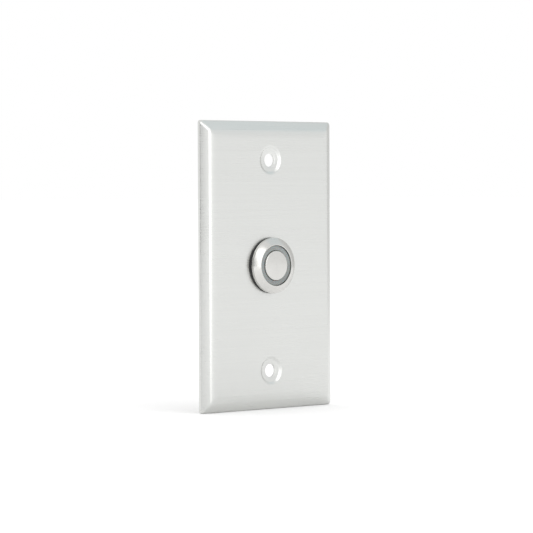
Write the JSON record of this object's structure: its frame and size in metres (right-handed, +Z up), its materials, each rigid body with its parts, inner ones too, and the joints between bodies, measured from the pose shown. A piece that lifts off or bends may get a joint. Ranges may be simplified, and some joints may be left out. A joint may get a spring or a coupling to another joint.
{
  "type": "pedestrian push button",
  "caption": "Steel wall plate with a flush round push button, a light ring, a threaded barrel, a sprung plunger and changeover contacts behind.",
  "frame": {"origin": "centre of the wall plate's outline on the wall's surface, where the plate's rim rests", "axes": "+Y into the wall along the button's travel, so the button faces -Y, +Z up along the plate's long side, +X to the right as seen from the front"},
  "size_m": [0.0698, 0.0337, 0.1142],
  "materials": {
    "brushed_plate": "long horizontal brushing, satin",
    "turned_steel": "fine turned rings, satin",
    "black_rubber": "matte moulded rubber",
    "zinc_steel": "zinc plated, dull",
    "nickel_plate": "nickel plated, satin",
    "black_plastic": "moulded, glass filled",
    "resin": "poured, glossy",
    "terminal_brass": "stamped, lightly tarnished",
    "contact_silver": "polished silver alloy",
    "board_laminate": "green solder mask",
    "led_body": "white body with a yellow lens",
    "resistor_body": "black ceramic with tinned ends",
    "translucent_ring": "frosted translucent",
    "white_plastic": "moulded acetal, satin",
    "spring_wire": "drawn wire"
  },
  "bodies": {
    "root": {"wall_plate": "brushed_plate", "bezel_housing": "turned_steel", "head_gasket": "black_rubber", "lock_washer": "zinc_steel", "hex_nut": "nickel_plate", "contact_block": "black_plastic", "terminal_base": "black_plastic", "potting_seal": "resin", "nc_terminal_left": "terminal_brass", "no_terminal_left": "terminal_brass", "nc_contact_left": "contact_silver", "no_contact_left": "contact_silver", "nc_terminal_right": "terminal_brass", "no_terminal_right": "terminal_brass", "nc_contact_right": "contact_silver", "no_contact_right": "contact_silver", "led_board": "board_laminate", "led_1": "led_body", "led_2": "led_body", "led_3": "led_body", "led_4": "led_body", "led_resistor": "resistor_body", "led_terminal_upper": "terminal_brass", "led_terminal_lower": "terminal_brass"},
    "button": {"button_cap": "turned_steel", "light_ring": "translucent_ring", "plunger": "white_plastic", "seal_ring": "black_rubber", "seal_retainer": "white_plastic", "return_spring": "spring_wire", "bridge_carrier": "white_plastic"},
    "bridge": {"contact_bridge": "terminal_brass", "bridge_contact_left": "contact_silver", "bridge_contact_right": "contact_silver", "contact_spring_front": "spring_wire", "contact_spring_rear": "spring_wire"}
  },
  "joints": [
    {"name": "button_press", "type": "slide", "parent": "root", "child": "button", "axis": [0, 1, 0], "range_m": [0, 0.002], "stiffness_N_per_m": 1500, "springref_m": -0.001, "deforming": ["return_spring"]},
    {"name": "bridge_slip", "type": "slide", "parent": "button", "child": "bridge", "axis": [0, -1, 0], "range_m": [0, 0.0008], "deforming": ["contact_spring_front", "contact_spring_rear"]}
  ],
  "couplings": [
    {"joint": "bridge_slip", "follows": "button_press", "ratio": 0.4}
  ]
}
